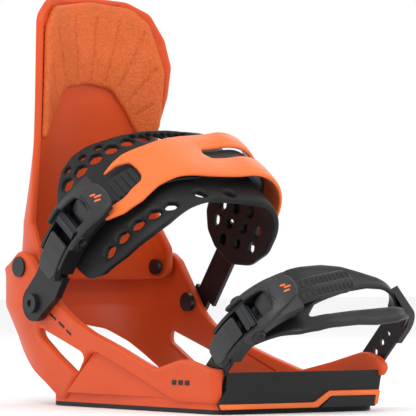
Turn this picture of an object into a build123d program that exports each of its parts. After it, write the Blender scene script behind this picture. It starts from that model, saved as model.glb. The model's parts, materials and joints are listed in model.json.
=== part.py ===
from build123d import *
import math
import os

# Strap-in snowboard binding, millimetres. +X points to the toe, +Z up, z = 0 is the board's top sheet,
# and the origin is the centre of the mounting disc. The ladders and buckles are on the -Y side.

# ---- driving dimensions ------------------------------------------------------------------------------
GASKET_T = 2.6
FLOOR_TOP = 9.0
HEEL_X, TOE_X = -91.0, 95.0
HALF_REAR, HALF_FRONT = 57.0, 61.0
DISC_R, DISC_FLANGE_R = 43.0, 48.0
FRONT_X, FRONT_Y = 98.5, -60.0    # near end of the front face, which runs forward towards the far side
FRONT_TURN = 5.4
BOLT_SPACING, BOLT_HOLE_R = 40.0, 3.2

WALL_T = 6.0
HOOP_R, HOOP_X = 66.0, -110.0
WALL_TOP_FRONT = 71.0
HOOP_LEVEL = 66.0
HINGE_X, HINGE_Z, EAR_R = -114.0, 92.3, 11.5

PIN_R, PIN_GAP = 3.0, 0.06
ANKLE_X, ANKLE_Z, ANKLE_TILT = -89.0, 68.0, 36.0
TOE_STRAP_X, TOE_STRAP_Z, TOE_TILT = 88.0, 30.0, 45.0
TOE_BOLT_X, TOE_BOLT_Z = 82.0, 24.0

HIGHBACK_TOP, HIGHBACK_BOTTOM, HIGHBACK_T = 277.0, 82.0, 5.0

FAR = 400.0                       # longer than anything it cuts


# ---- helpers -----------------------------------------------------------------------------------------
def polygon(points, radius=0.0):
    """Closed outline with every corner rounded to one radius."""
    face = Polygon(*points, align=None)
    return fillet(face.vertices(), radius) if radius else face


def across(points, y0, y1, radius=0.0):
    """Outline in X-Z, as solid from y0 to y1."""
    return Pos(0, y0, 0) * extrude(Plane.XZ * polygon(points, radius), y1 - y0, dir=(0, 1, 0))


def along(points, x0, x1, radius=0.0):
    """Outline in Y-Z, as solid from x0 to x1."""
    return Pos(x0, 0, 0) * extrude(Plane.YZ * polygon(points, radius), x1 - x0, dir=(1, 0, 0))


def rod_y(x, z, r, y0, y1):
    """Round bar along Y."""
    return Pos(x, (y0 + y1) / 2, z) * Rot(90, 0, 0) * Cylinder(r, abs(y1 - y0))


def rod_z(x, y, r, z0, z1):
    """Round bar along Z."""
    return Pos(x, y, (z0 + z1) / 2) * Cylinder(r, z1 - z0)


def box(x0, x1, y0, y1, z0, z1):
    return Pos((x0 + x1) / 2, (y0 + y1) / 2, (z0 + z1) / 2) * Box(x1 - x0, y1 - y0, z1 - z0)


def save(shape, name):
    """One STEP per node. A node may hold several separate solids."""
    solids = shape.solids()
    whole = solids[0] if len(solids) == 1 else Compound(children=list(solids))
    whole.label = name
    export_step(whole, f"parts/{name}.step")


def along_front(points, x0, x1, radius=0.0):
    """Outline in Y-Z turned with the front face about its near end, x from x0 to x1 there."""
    turn = Pos(FRONT_X, FRONT_Y, 0) * Rot(0, 0, -FRONT_TURN) * Pos(-FRONT_X, -FRONT_Y, 0)
    return turn * along(points, x0, x1, radius)


class StrapLoop:
    """The path of a strap over the boot, in a plane tilted forward about its two bolts.

    In that plane a point is (y, v): y across the board and v the height above the bolts. The path runs up
    the near side, round a corner, over the boot, round a tighter corner and down the far side. u is the
    length along it from the start of the top run, negative on the near side, and d the outward offset.
    """

    def __init__(self, x, z, tilt, near, far, crest, near_r, far_r):
        self.near, self.far, self.crest = near, far, crest
        self.near_r, self.far_r = near_r, far_r
        self.near_c = (near_r - near, crest - near_r)
        self.far_c = (far - far_r, crest - far_r)
        self.top_run = self.far_c[0] - self.near_c[0]
        self.near_turn = math.pi / 2 * near_r
        self.far_turn = math.pi / 2 * far_r
        t = math.radians(tilt)
        self.plane = Plane(origin=(x, 0, z), x_dir=(0, 1, 0), z_dir=(math.cos(t), 0, -math.sin(t)))

    def at(self, u, d=0.0):
        """(y, v) of a point on the path, moved outward by d."""
        if u < -self.near_turn:
            return -self.near - d, self.near_c[1] + u + self.near_turn
        if u < 0:
            a = u / self.near_r
            r = self.near_r + d
            return self.near_c[0] + r * math.sin(a), self.near_c[1] + r * math.cos(a)
        if u < self.top_run:
            return self.near_c[0] + u, self.crest + d
        if u < self.top_run + self.far_turn:
            a = (u - self.top_run) / self.far_r
            r = self.far_r + d
            return self.far_c[0] + r * math.sin(a), self.far_c[1] + r * math.cos(a)
        return self.far + d, self.far_c[1] - (u - self.top_run - self.far_turn)

    def inside(self, d, bottom=-60.0):
        """Everything inside the path moved outward by d, as a face."""
        n, f, c = -self.near - d, self.far + d, self.crest + d
        k = math.sqrt(0.5)
        n_mid = (self.near_c[0] - (self.near_r + d) * k, self.near_c[1] + (self.near_r + d) * k)
        f_mid = (self.far_c[0] + (self.far_r + d) * k, self.far_c[1] + (self.far_r + d) * k)
        edges = [
            Line((n, bottom), (n, self.near_c[1])),
            ThreePointArc((n, self.near_c[1]), n_mid, (self.near_c[0], c)),
            Line((self.near_c[0], c), (self.far_c[0], c)),
            ThreePointArc((self.far_c[0], c), f_mid, (f, self.far_c[1])),
            Line((f, self.far_c[1]), (f, bottom)),
            Line((f, bottom), (n, bottom)),
        ]
        return make_face(Curve() + edges)

    def sector(self, u0, u1, d0=-14.0, d1=40.0):
        """The stretch of the path from u0 to u1, as a wide face that cuts a band there."""
        steps = max(2, int((u1 - u0) / 12) + 1)
        us = [u0 + (u1 - u0) * i / steps for i in range(steps + 1)]
        return polygon([self.at(u, d0) for u in us] + [self.at(u, d1) for u in reversed(us)])

    def band_face(self, d0, d1, u0, u1):
        return (self.inside(d1) - self.inside(d0)) & self.sector(u0, u1)

    def solid(self, face, w0, w1):
        """A face of the loop's plane, as solid from w0 to w1 across the strap's width, in the row frame."""
        return self.plane.location * (Pos(0, 0, w0) * extrude(face, w1 - w0, dir=(0, 0, 1)))

    def band(self, d0, d1, u0, u1, w0, w1):
        return self.solid(self.band_face(d0, d1, u0, u1), w0, w1)

    def side_cut(self, points, y0, y1, radius=0.0):
        """A side outline, points (v, w), as solid from y0 to y1."""
        return self.plane.location * along(points, y0, y1, radius)

    def rod(self, point, r, w0, w1):
        """Round bar across the strap at (y, v)."""
        bar = Pos(point[0], point[1], (w0 + w1) / 2) * Cylinder(r, w1 - w0)
        return self.plane.location * bar

    def box(self, y0, y1, v0, v1, w0, w1):
        return self.plane.location * box(y0, y1, v0, v1, w0, w1)


ANKLE = StrapLoop(ANKLE_X, ANKLE_Z, ANKLE_TILT, 58.0, 62.0, 107.0, 62.0, 18.0)
TOE = StrapLoop(TOE_STRAP_X, TOE_STRAP_Z, TOE_TILT, 53.0, 64.0, 63.0, 42.0, 22.0)


# ---- base --------------------------------------------------------------------------------------------
def base_outline():
    points = [(HEEL_X, -HALF_REAR + 2), (TOE_X, -HALF_FRONT), (TOE_X + 9.5, HALF_FRONT), (HEEL_X, HALF_REAR - 2)]
    return polygon(points, 6)


def side_gussets():
    """Upright webs that carry the arms of the hoop, wide triangles with blunt peaks."""
    outline = [(-68.4, FLOOR_TOP), (-38, 35.6), (-31, 36.2), (43.4, FLOOR_TOP)]
    return Compound(children=[across(outline, -59.6, -55.6), across(outline, 55.6, 59.6)])


def baseplate():
    plate = extrude(Pos(0, 0, GASKET_T) * base_outline(), FLOOR_TOP - GASKET_T, dir=(0, 0, 1))
    plate -= rod_z(0, 0, DISC_R + 1, -1, 20)
    plate -= rod_z(0, 0, DISC_FLANGE_R + 0.5, FLOOR_TOP - 3, 20)
    for x in (-62, 62):
        plate -= Pos(x, 0, 6) * Box(9, 60, 20)
    return plate


def screw_lugs():
    """Four blocks on the base that take the hoop's screws."""
    lugs = []
    for x, reach in ((-78, 54.4), (68, 56.6)):
        for side in (-1, 1):
            y0, y1 = sorted((side * 49.0, side * reach))
            lugs.append(box(x - 6, x + 6, y0, y1, FLOOR_TOP, 18) - rod_y(x, 13, 2.5, side * 44, side * 60))
    return Compound(children=lugs)


def base_gasket():
    sheet = extrude(base_outline(), GASKET_T, dir=(0, 0, 1))
    return sheet - rod_z(0, 0, DISC_R + 3, -1, 10)


def disc_bolts(r, z0, z1):
    h = BOLT_SPACING / 2
    holes = [rod_z(x, y, r, z0, z1) for x in (-h, h) for y in (-h, h)]
    return holes[0] + holes[1:]


def mounting_disc():
    """Disc that clamps the base to the board, with four bolt holes and a toothed rim."""
    disc = rod_z(0, 0, DISC_R, 0, 7) + rod_z(0, 0, DISC_FLANGE_R, FLOOR_TOP - 2.8, FLOOR_TOP)
    disc -= rod_z(0, 0, 10, 5.2, 20)
    disc -= disc_bolts(6.2, 5.0, 20) + disc_bolts(BOLT_HOLE_R, -1, 20)
    for i in range(24):
        disc -= Rot(0, 0, i * 15) * (Pos(DISC_FLANGE_R, 0, FLOOR_TOP) * Box(3, 1.6, 2.4))
    return disc


def footbed():
    """Cushion over the disc, up to the heel pad behind it and the toe ramp in front."""
    pad = box(-58, 52, -49, 49, FLOOR_TOP + 0.1, FLOOR_TOP + 4)
    pad = fillet(pad.edges().filter_by(Axis.Z), 8)
    for x in range(-45, 50, 15):
        pad -= Pos(x, 0, FLOOR_TOP + 4) * Box(3, 70, 1.6)
    return pad


def heel_pad():
    """Rubber shock pad under the heel, a little longer than the base."""
    pad = across([(-97, 10), (-60, 9.1), (-60, 13), (-66, 16.5), (-94, 15.5)], -46, 46, 0.8)
    for y in range(-40, 41, 10):
        pad -= Pos(-78, y, 16.6) * Box(22, 2.4, 2)
    return pad


def wall_section(z, x_front, half_front, half_rear, x_arc, thickness):
    """Plan of the side walls joined behind the heel, at one height, taken in by the wall's thickness."""
    hf, hr = half_front - thickness, half_rear - thickness
    edges = [
        Line((x_front, -hf), (x_arc, -hr)),
        ThreePointArc((x_arc, -hr), (x_arc - hr, 0), (x_arc, hr)),
        Line((x_arc, hr), (x_front, hf)),
        Line((x_front, hf), (x_front, -hf)),
    ]
    return Pos(0, 0, z) * make_face(Curve() + edges)


def wall_body(thickness):
    low = wall_section(3.0, 140, 63.5, HALF_REAR, -80, thickness)
    high = wall_section(HOOP_LEVEL, 140, WALL_TOP_FRONT, HOOP_R, HOOP_X, thickness)
    return loft([low, high], ruled=True) + extrude(high, 50, dir=(0, 0, 1))


HOOP_BACK = [(-182, 60), (-182, 89), (-160, 91), (-135, 95), (-114, 95)]
LOWER_EDGE = [(-74, 4.2), (-81, 5.5), (-95, 14), (-113, 22), (-125, 30), (-139.5, 40), (-154.5, 49), (-171, 56)]
SEAM = [(51.5, 6), (-32, 37.2), (-38, 36.6)]
NEAR_TOP = [(-100, 92), (-86, 80), (-72, 71.4), (-60, 62), (-50, 56.3), (-33, 49), (-4, 40), (18, 32), (32, 27.3)]
NEAR_FRONT = [(41, 28.2), (51, 31.5), (61, 33.6), (69, 33.6), (90, 28.8), (99.4, 28.4), (99.2, 25), (95.2, 6)]
FAR_TOP = [(-100, 92), (-85, 72), (-74, 60), (-64, 53), (-32, 41.5), (0, 32.5), (30, 24.6), (37, 24.2), (46, 26)]
FAR_FRONT = [(90, 37), (95, 37.2), (105, 35), (112, 30.5), (113.4, 27), (109, 6)]


def heel_hoop():
    """Side arms, legs and the hoop behind the heel in one piece, with a window in each arm."""
    ring = wall_body(0) - wall_body(WALL_T)
    near = across(HOOP_BACK + NEAR_TOP + NEAR_FRONT + SEAM + LOWER_EDGE, -90, 0)
    far = across(HOOP_BACK + FAR_TOP + FAR_FRONT + SEAM + LOWER_EDGE, 0, 90)
    near -= across([(-95, 52), (-94, 45.6), (-58, 21), (-43.5, 34.4)], -90, 0, 1.5)
    far -= across([(-109, 49), (-108, 40.6), (-66, 18), (-50, 31)], 0, 90, 1.5)
    for side, y0, y1 in ((-1, -90, 0), (1, 0, 90)):
        discs = rod_y(HINGE_X, HINGE_Z, EAR_R, y0, y1) + rod_y(ANKLE_X, ANKLE_Z, 10.5, y0, y1)
        if side < 0:
            near += discs
        else:
            far += discs
    hoop = ring & (near + far)
    for x, z in ((HINGE_X, HINGE_Z), (ANKLE_X, ANKLE_Z)):
        hoop -= rod_y(x, z, PIN_R + PIN_GAP, -90, 90)
    hoop -= rod_y(TOE_BOLT_X, TOE_BOLT_Z, PIN_R + PIN_GAP, -63, -40)
    hoop -= rod_y(TOE_BOLT_X, TOE_BOLT_Z, PIN_R + PIN_GAP, 60.4, 90)
    for x, depth in ((-78, 57.3), (68, 61.2)):
        hoop -= rod_y(x, 13, 2.6, -depth, depth)
    hoop -= rod_y(HINGE_X, HINGE_Z, 7.2, -90, -64.5) + rod_y(HINGE_X, HINGE_Z, 7.2, 64.5, 90)
    hoop -= along_front([(-62.8, 2), (62.6, 2), (62.6, 22), (60.6, 26.3), (-56.8, 26.3), (-62.8, 6)], 96.1, 120)
    hoop -= box(70, 112, -59.5, -40, 9.5, 50)
    corner = polygon([(93.2, -66.2), (99.7, -59.7), (99.7, -75), (93.2, -75)])
    hoop -= extrude(corner, 60, dir=(0, 0, 1))
    return hoop - baseplate() - screw_lugs()


def hoop_screws():
    """Screws that hold the hoop to the lugs of the baseplate from inside, two on each side."""
    screws = []
    for x, reach in ((-78, 57.2), (68, 61.1)):
        for side in (-1, 1):
            shaft = rod_y(x, 13, 2.4, side * 48.8, side * reach)
            head = rod_y(x, 13, 3.9, side * 46.8, side * 48.9)
            screws.append(shaft + head)
    return Compound(children=screws)


def toe_ramp_pad():
    """Rubber ramp under the toes, with a tall textured front face."""
    ramp = across([(56, 9.1), (112, 9.1), (112, 27.5), (92, 24.8), (60, 14.5), (56, 13)], -46, 46)
    ramp &= along_front([(-70, 0), (70, 0), (70, 25.8), (-70, 25.8)], 0, 96.4)
    sides = [(-56.5, 26), (-56.6, 15), (-62.5, 6), (-61, 2.9), (57.5, 2.9), (62.2, 22), (60, 26)]
    return ramp + along_front(sides, 96.3, 98.5)


def toe_ramp_trim():
    """Bright strip along the foot of the front face, which steps up towards the far side."""
    points = [(-62.5, 6.2), (9, 6.2), (20.5, 13.4), (60.6, 13.4), (58.4, 4), (55.8, 4), (57, 10), (22, 10), (11.5, 2.9),
              (-61.3, 2.9)]
    return along_front(points, 98.6, 100.2)


def toe_bumper():
    """Plain rubber block under the raised end of the strip."""
    return along_front([(14, 2.9), (55.2, 2.9), (56.6, 9.7), (22.6, 9.7)], 98.6, 100.0)


# ---- highback ----------------------------------------------------------------------------------------
# Levels of the shell: height, x of the wing edges, half width, x of the spine, all on its back face.
HIGHBACK_LEVELS = [(HIGHBACK_BOTTOM - 4, -103.0, 57.0, -166.2), (104.0, -104.0, 57.5, -162.5),
                   (122.0, -113.0, 58.0, -159.5), (150.0, -110.5, 58.0, -150.6), (180.0, -108.5, 58.0, -140.5),
                   (205.0, -108.0, 58.0, -133.5), (235.0, -107.5, 58.0, -128.0), (HIGHBACK_TOP + 3, -107.0, 57.5, -123.0)]


def crescent(level, front, back):
    """Crescent at one height between two arcs, offset forward from the back face by front and back."""
    z, x, half, x_spine = level
    yf, yb = half - front * 0.9, half - back * 0.9
    edges = [
        ThreePointArc((x, -yb), (x_spine + back, 0), (x, yb)),
        Line((x, yb), (x, yf)),
        ThreePointArc((x, yf), (x_spine + front, 0), (x, -yf)),
        Line((x, -yf), (x, -yb)),
    ]
    return Pos(0, 0, z) * make_face(Curve() + edges)


def highback_body(front, back):
    return loft([crescent(level, front, back) for level in HIGHBACK_LEVELS], ruled=True)


def highback_outline():
    """Front outline, points (y, z): near edge nearly straight, far edge waisted below the top."""
    points = [(-59, 70), (-59, 262), (-46, 275.5), (0, 277), (28, 275.5), (42, 268), (53, 249), (58.5, 230),
              (56.5, 210), (51, 190), (51, 165), (54.5, 120), (59, 104), (59, 70)]
    return along(points, -220, 0, 4)


def highback_shell():
    """Curved support behind the calf, with two ears that hinge inside the hoop."""
    shell = highback_body(HIGHBACK_T, 0) & highback_outline()
    side = [(-90, 81), (-90, 290), (-200, 290), (-200, 84), (-140, 84), (-122, 81)]
    shell &= across(side, -90, 90)
    for side_y in (-1, 1):
        y0, y1 = sorted((side_y * 50.6, side_y * 57.6))
        shell += rod_y(HINGE_X, HINGE_Z, 11.0, y0, y1)
    shell -= rod_y(HINGE_X, HINGE_Z, PIN_R + PIN_GAP, -90, 90)
    return shell


def highback_pad():
    """Leather-covered foam on the upper front of the shell, an arch with an open foot."""
    pad = highback_body(HIGHBACK_T + 3.4, HIGHBACK_T + 0.1)
    arch = [(-53, 178), (-54, 262), (-42, 271), (-5, 274), (30, 271), (44, 260), (54, 229), (50, 190), (46, 180), (38, 183),
            (28, 199), (18, 213), (-2, 218), (-24, 213), (-36, 195), (-44, 180)]
    return pad & along(arch, -220, 0, 2)


def pivot_bolts():
    """Bolts through hoop and highback ears, their heads sunk in the ears."""
    bolts = []
    for side in (-1, 1):
        shaft = rod_y(HINGE_X, HINGE_Z, PIN_R, side * 48, side * 64.6)
        bolts.append(shaft + rod_y(HINGE_X, HINGE_Z, 6.8, side * 64.6, side * 67.4))
    return Compound(children=bolts)


def pivot_nuts():
    nuts = []
    for side in (-1, 1):
        nut = rod_y(HINGE_X, HINGE_Z, 5.4, side * 47.4, side * 50.4)
        nuts.append(nut - rod_y(HINGE_X, HINGE_Z, PIN_R, side * 48, side * 60))
    return Compound(children=nuts)


LEAN_X, LEAN_Z = -174.2, 104.0      # axis of the lean block's lever
LEAN_SLOPE = 0.188                  # how far the rack moves forward per millimetre of height


def on_rack(z, gap=0.0):
    """Point of the rack's back face at height z, gap behind it."""
    return (-169.8 + (z - 92) * LEAN_SLOPE - gap, z)


def lean_rack():
    """Toothed strip on the back of the highback that the lean block grips."""
    rack = across([on_rack(92), (-159, 92), (-149, 141), on_rack(141)], -7, 7)
    rack -= highback_body(14, -0.1)
    for i in range(12):
        x, z = on_rack(96 + i * 3.6)
        rack -= Pos(x, 0, z) * Box(2.0, 20, 1.4)
    return rack


def lean_block():
    """Stop that rests on the top of the hoop and sets how far the highback leans forward."""
    block = across([(-179, 90.6), on_rack(90.6, 0.4), on_rack(111.6, 0.4), (-174, 113.4), (-179, 109)], -13, 13)
    block -= across([(-180.5, 98.5), (-171.4, 98.5), (-169.8, 110.4), (-180.5, 110.4)], -9, 9)
    block -= box(-181, -175.8, -9, 9, 88, 114)
    return block - rod_y(LEAN_X, LEAN_Z, 1.6 + PIN_GAP, -30, 30)


def lean_lever():
    """Small flip lever that clamps the lean block to its rack."""
    x = LEAN_X
    lever = across([(x - 2.8, 101), (x + 2.0, 101.6), (x + 2.0, 106.2), (x - 2.8, 106.4)], -8.7, 8.7)
    lever += across([(x - 5.0, 92.5), (x - 2.4, 92.5), (x - 2.2, 106.4), (x - 5.0, 106.4)], -8.7, 8.7)
    return lever - rod_y(x, LEAN_Z, 1.6 + PIN_GAP, -30, 30)


def lean_pin():
    return rod_y(LEAN_X, LEAN_Z, 1.6, -12.6, 12.6)


# ---- ankle strap -------------------------------------------------------------------------------------
ANKLE_W = 5.0                     # middle of the ladder across the strap
LADDER_D = 9.3                    # underside of the ladder above the strap's path


def hex_holes(loop, spots, r, d0, d1):
    """Round-cornered holes through a band, at (u, w) spots."""
    holes = []
    for u, w in spots:
        y0, v0 = loop.at(u, d0)
        y1, v1 = loop.at(u, d1)
        mid = ((y0 + y1) / 2, (v0 + v1) / 2)
        plane = Plane(origin=(mid[0], mid[1], w), x_dir=(0, 0, 1), z_dir=(y1 - y0, v1 - v0, 0))
        cell = fillet(RegularPolygon(r, 6).vertices(), r * 0.35)
        bar = plane.location * extrude(cell, 2 * (d1 - d0), both=True)
        holes.append(loop.plane.location * bar)
    return holes


def ankle_pad():
    """Padded ankle cushion with rows of hexagonal holes above and below the cap."""
    pad = ANKLE.band(0, 5, -118, 120, -46, 50)
    near = [(-30, 130), (-46, 130), (-49, 96), (-46, 80), (-38, 66), (-25, 54), (-8, 46), (14, 39), (30, 41),
            (40, 53), (47, 73), (47, 95), (42, 112), (36, 130)]
    far = [(-40, 130), (-36, 100), (-26, 70), (-14, 55), (3, 50), (24, 50), (44, 68), (48, 90), (44, 130)]
    pad &= (ANKLE.side_cut([(v, w) for w, v in near], -90, 16) + ANKLE.side_cut([(v, w) for w, v in far], 16, 90))
    rear = [(-64, -34), (-46, -38), (-28, -33), (-10, -31), (8, -30)]
    front = [(-76, 36), (-56, 38), (-36, 37), (-16, 34), (4, 31)]
    for hole in hex_holes(ANKLE, rear + front, 5.4, -2, 8):
        pad -= hole
    return pad


def ankle_core():
    """Flexible load strap under the cap, from the buckle to the far extender."""
    return ANKLE.band(5.3, 8.0, -84, 92, ANKLE_W - 11, ANKLE_W + 11)


def ankle_extender():
    """Ribbed strap from the core down to the far bolt, outside the wall."""
    strap = ANKLE.band(5.3, 8.0, 92.2, 150, ANKLE_W - 10, ANKLE_W + 10)
    foot = ANKLE.box(67.3, 70.0, -6, 9, -9, 9)
    strap = strap & ANKLE.box(60, 80, -11, 200, -60, 60)
    strap += foot
    for i in range(9):
        y, v = 70.0, 30 + i * 3.4
        strap -= ANKLE.box(y - 0.7, y + 1, v, v + 1.5, ANKLE_W - 8, ANKLE_W + 8)
    return strap - rod_y(ANKLE_X, ANKLE_Z, PIN_R + PIN_GAP, 60, 80)


def ankle_cap():
    """Hard cap over the ankle pad, with a long window on the far half and a mouth for the ladder."""
    cap = ANKLE.band(8.3, 14.6, -70, 92, -20, 29)
    near = [(-9, 92), (-17, 108), (-22, 130), (30, 130), (28, 92), (20, 78), (15, 92), (9, 106), (-4, 109)]
    far = [(-26, 130), (-20, 112), (-10, 104), (-2, 100), (2, 92), (8, 86), (24, 86), (28, 98), (26, 130)]
    cap &= (ANKLE.side_cut([(v, w) for w, v in near], -90, 16) + ANKLE.side_cut([(v, w) for w, v in far], 16, 90))
    window = ANKLE.box(20, 90, 80, 140, -9, 0.5)
    window &= ANKLE.band(0, 30, 18, 62, -20, 20)
    cap -= window
    cap -= ANKLE.band(8.0, 12.8, -70, 3, ANKLE_W - 11.6, ANKLE_W + 11.6)
    return cap - ANKLE.band(8.0, 22.0, -74, -54, ANKLE_W - 14.2, ANKLE_W + 14.2)


def ankle_link():
    """Lower link of the ladder, bolted outside the near wall, with a pocket for the ladder's end."""
    eye = Pos(-69.95, 0, 0) * Rot(0, 90, 0) * Cylinder(12, 5.3)
    link = ANKLE.plane.location * eye
    link += ANKLE.side_cut([(0, -12), (18, -8.6), (34, -8.6), (34, 18.6), (18, 18.6), (0, 12)], -72.6, -67.3)
    link -= ANKLE.box(-70.7, -60, 19.9, 50, ANKLE_W - 11.3, ANKLE_W + 11.3)
    return link - rod_y(ANKLE_X, ANKLE_Z, PIN_R + PIN_GAP, -80, -60)


def ankle_ladder():
    """Toothed strap from the link, through the buckle and in under the cap."""
    ladder = ANKLE.band(LADDER_D, LADDER_D + 2.2, -122.2, -4, ANKLE_W - 10.7, ANKLE_W + 10.7)
    tooth = 4.2
    count = 26
    for i in range(count):
        u = -118 + i * tooth
        ladder += ANKLE.band(LADDER_D + 2.1, LADDER_D + 3.1, u, u + 2.0, ANKLE_W - 8.5, ANKLE_W + 8.5)
    return ladder


def ankle_bolts():
    near = rod_y(ANKLE_X, ANKLE_Z, PIN_R, -57, -72.8) + rod_y(ANKLE_X, ANKLE_Z, 6.5, -72.7, -75.4)
    far = rod_y(ANKLE_X, ANKLE_Z, PIN_R, 57, 70.2) + rod_y(ANKLE_X, ANKLE_Z, 6.5, 70.1, 72.6)
    hexagon = Plane.XZ * RegularPolygon(2.6, 6)
    near -= Pos(ANKLE_X, -74, ANKLE_Z) * extrude(hexagon, 4, dir=(0, -1, 0))
    return Compound(children=[near, far])


def ankle_nuts():
    nuts = []
    for side in (-1, 1):
        nut = rod_y(ANKLE_X, ANKLE_Z, 6.5, side * 56.2, side * 59.2)
        nuts.append(nut - rod_y(ANKLE_X, ANKLE_Z, PIN_R, side * 57, side * 62))
    return Compound(children=nuts)


# ---- buckles -----------------------------------------------------------------------------------------
class Buckle:
    """A ratchet buckle on a strap loop, floor at base_d, all heights above it scaled by tall.

    Along the path the ladder comes in past the short release lever, then under the drum on the long
    lever's axis, and the long lever's free end points on towards the cap.
    """

    def __init__(self, loop, base_d, middle, width, tall, u_release, u_pivot, u_tip):
        self.loop, self.base_d, self.middle, self.tall = loop, base_d, middle, tall
        self.half = width / 2
        self.u_release, self.u_pivot, self.u_tip = u_release, u_pivot, u_tip
        self.pivot = loop.at(u_pivot, self.up(9.6))
        self.release_pivot = loop.at(u_release, self.up(8.4))

    def up(self, height):
        return self.base_d + height * self.tall

    def both_sides(self, face, inner, outer):
        """The same outline on both sides, from inner to outer away from the middle."""
        m = self.middle
        near = self.loop.solid(face, m - outer, m - inner)
        return near + self.loop.solid(face, m + inner, m + outer)

    def base(self):
        """Floor plate under the ladder with two upright cheeks."""
        loop, up, m = self.loop, self.up, self.middle
        u0, u1 = self.u_release - 8, self.u_tip - 8
        floor = loop.band(self.base_d, self.base_d + 1.0, u0, u1, m - self.half, m + self.half)
        cheek = loop.band_face(self.base_d, up(12.4), u0 + 3, self.u_pivot + 8)
        cheek += loop.band_face(self.base_d, up(8.0), u0, u1)
        body = floor + self.both_sides(cheek, self.half - 2.4, self.half)
        reach = self.half + 1
        for spot, r in ((self.pivot, 2.0), (self.release_pivot, 1.7)):
            body -= loop.rod(spot, r + PIN_GAP, m - reach, m + reach)
        return body

    def lever(self):
        """Long closing lever: two arms outside the cheeks, a hub cover and a rounded bridge at the free end."""
        loop, up, m = self.loop, self.up, self.middle
        outer = self.half + 3.2
        arm = loop.band_face(up(6.9), up(13.4), self.u_pivot - 6, self.u_tip - 4)
        lever = self.both_sides(arm, self.half + 0.3, outer)
        bridge = loop.band_face(up(9.2), up(13.8), self.u_pivot + 15, self.u_tip)
        lever += loop.solid(bridge, m - outer, m + outer)
        return lever - loop.rod(self.pivot, 2.0 + PIN_GAP, m - outer - 1, m + outer + 1)

    def drum(self):
        """Toothed drum on the lever's axis that pushes the ladder along."""
        loop, m = self.loop, self.middle
        half = self.half - 3.0
        drum = loop.rod(self.pivot, 4.2 * self.tall, m - half, m + half)
        for i in range(7):
            a = math.radians(i * 360 / 7)
            r = 4.0 * self.tall
            spot = (self.pivot[0] + r * math.cos(a), self.pivot[1] + r * math.sin(a))
            drum += loop.rod(spot, 0.9, m - half, m + half)
        return drum - loop.rod(self.pivot, 2.0 + PIN_GAP, m - half - 1, m + half + 1)

    def release(self):
        """Short sprung lever that lets the ladder out, between the cheeks at the mouth."""
        loop, up, m = self.loop, self.up, self.middle
        half = self.half - 3.0
        tab = loop.band_face(up(7.0), up(11.0), self.u_release - 16, self.u_release + 4)
        tab += loop.band_face(up(5.8), up(8.0), self.u_release - 3, self.u_release + 3)
        lever = loop.solid(tab, m - half, m + half)
        return lever - loop.rod(self.release_pivot, 1.7 + PIN_GAP, m - half - 1, m + half + 1)

    def lever_pin(self):
        reach = self.half + 3.1
        return self.loop.rod(self.pivot, 2.0, self.middle - reach, self.middle + reach)

    def release_pin(self):
        reach = self.half - 0.2
        return self.loop.rod(self.release_pivot, 1.7, self.middle - reach, self.middle + reach)


ANKLE_BUCKLE = Buckle(ANKLE, 8.1, ANKLE_W, 27.0, 1.0, -97.0, -81.0, -57.0)


# ---- toe strap ---------------------------------------------------------------------------------------
TOE_W = 3.0


def toe_cap():
    """Forked strap over the toe of the boot: two bands that part from the buckle and meet at the far clip."""
    cap = TOE.band(-0.4, 2.2, -64, 86, -26, 29)
    near = [(-6, 26), (-12, 40), (-17, 52), (-22, 60), (-24.5, 80), (29, 80), (28, 60), (24, 52), (17, 40), (12, 26)]
    far = [(-25.6, 80), (-22, 60), (-12, 52), (-8, 42), (-7, 24), (11, 24), (13, 40), (22, 56), (27, 62), (27, 80)]
    cap &= (TOE.side_cut([(v, w) for w, v in near], -90, 4) + TOE.side_cut([(v, w) for w, v in far], 4, 90))
    window = [(-28, 18), (-18, 8.2), (-4, 3.7), (14, -2), (34, -5), (48, -3), (58, 0), (59, 6), (48, 11), (27, 13.4),
              (6, 15.2), (-12, 17.4)]
    return cap - TOE.plane.location * across(window, 40, 80, 1.5)


def toe_ladder():
    """Toothed strap inside the near wall, through the buckle and on over the toe cap."""
    strap = TOE.band(4.0, 6.0, -112, 30, TOE_W - 8.9, TOE_W + 8.9) & TOE.box(-90, 60, -16, 120, -60, 60)
    for i in range(28):
        u = -76 + i * 3.7
        strap -= TOE.band(5.4, 8.0, u, u + 1.7, TOE_W - 7.6, TOE_W - 1.2)
        strap -= TOE.band(5.4, 8.0, u, u + 1.7, TOE_W + 1.2, TOE_W + 7.6)
    return strap - rod_y(TOE_BOLT_X, TOE_BOLT_Z, PIN_R + PIN_GAP, -80, -40)


def toe_extender():
    """Perforated strap from the far clip down to the bolt, outside the far wall."""
    strap = TOE.band(3.2, 5.4, 80, 160, -7, 11) & TOE.box(0, 90, -17, 120, -60, 60)
    for i in range(3):
        strap -= TOE.plane.location * (Pos(70, 12 + i * 9, 2) * Rot(0, 90, 0) * Cylinder(2.2, 20))
    return strap - rod_y(TOE_BOLT_X, TOE_BOLT_Z, PIN_R + PIN_GAP, 60, 90)


def toe_clip():
    """Clip block that joins the cap's two far ends to the extender."""
    clip = TOE.band(2.4, 7.0, 70, 97, -9.5, 13.0)
    return clip - TOE.band(3.0, 5.6, 79.8, 110, -7.2, 11.2)


def toe_strap_bolts():
    """Bolts of the toe strap, turned into the walls: one from inside the ladder, one from outside the extender."""
    near = rod_y(TOE_BOLT_X, TOE_BOLT_Z, PIN_R, -54.6, -62.8)
    near += rod_y(TOE_BOLT_X, TOE_BOLT_Z, 6.0, -54.2, -56.9)
    far = rod_y(TOE_BOLT_X, TOE_BOLT_Z, PIN_R, 60.6, 70.2) + rod_y(TOE_BOLT_X, TOE_BOLT_Z, 6.0, 69.6, 71.8)
    return Compound(children=[near, far])


TOE_BUCKLE = Buckle(TOE, 2.8, TOE_W, 23.4, 0.9, -60.0, -46.0, -20.0)


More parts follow.
